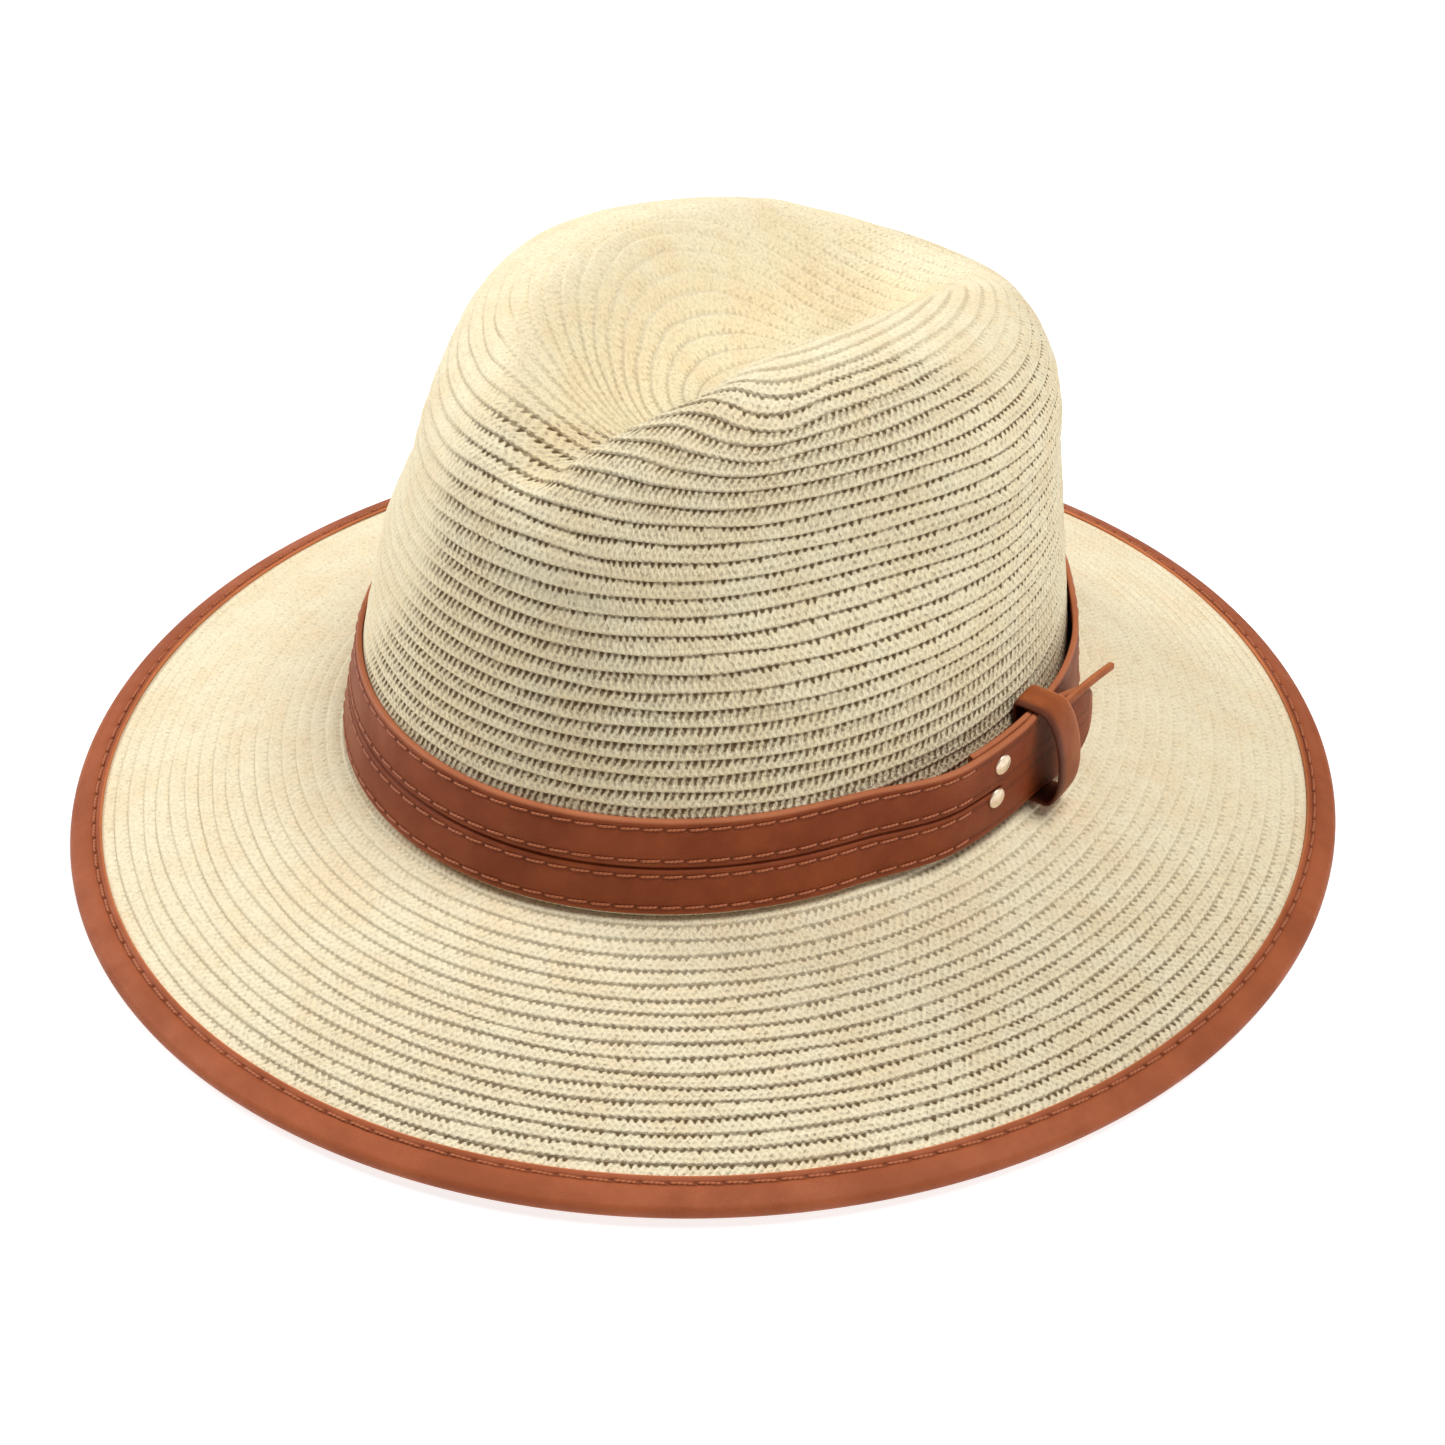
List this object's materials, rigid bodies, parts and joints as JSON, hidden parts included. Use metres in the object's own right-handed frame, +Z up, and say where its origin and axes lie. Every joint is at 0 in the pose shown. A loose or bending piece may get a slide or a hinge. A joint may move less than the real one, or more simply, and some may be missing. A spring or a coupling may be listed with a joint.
{
  "type": "panama hat",
  "caption": "Wide-brimmed braided straw hat with a teardrop pinched crown, leather-bound brim edge and a stitched leather strap band with a riveted knot.",
  "frame": {"origin": "centre of the bounding box in plan, at the flat under the brim's bound edge that the hat stands on", "axes": "+Z up through the crown; the front of the hat faces -Y; the wearer's left, where the band's knot is, faces +X"},
  "size_m": [0.3136, 0.3444, 0.1446],
  "materials": {
    "paper_braid": "matt cream paper braid, spiral rows",
    "paper_braid_brim": "matt cream paper braid, spiral rows",
    "tan_leather": "satin tan-brown coated leather",
    "hatband_leather": "satin brown leather with fine grain",
    "tan_thread": "tan sewing thread",
    "brim_wire_steel": "plain wire, hidden",
    "pale_brass": "pale polished",
    "sweatband_cloth": "matt woven cloth"
  },
  "bodies": {
    "hat": {"crown": "paper_braid", "brim": "paper_braid_brim", "brim_binding": "tan_leather", "brim_wire": "brim_wire_steel", "binding_thread_top": "tan_thread", "binding_thread_under": "tan_thread", "hatband": "hatband_leather", "band_thread_1": "tan_thread", "band_thread_2": "tan_thread", "band_thread_3": "tan_thread", "band_thread_4": "tan_thread", "rivet_upper": "pale_brass", "rivet_lower": "pale_brass", "sweatband": "sweatband_cloth", "sweatband_thread": "tan_thread"},
    "keeper": {"keeper_loop": "hatband_leather", "keeper_tail": "hatband_leather"}
  },
  "joints": [
    {"name": "keeper_slide", "type": "slide", "parent": "hat", "child": "keeper", "axis": [-0.1198, 0.9928, 0], "range_m": [-0.002, 0.003]}
  ]
}
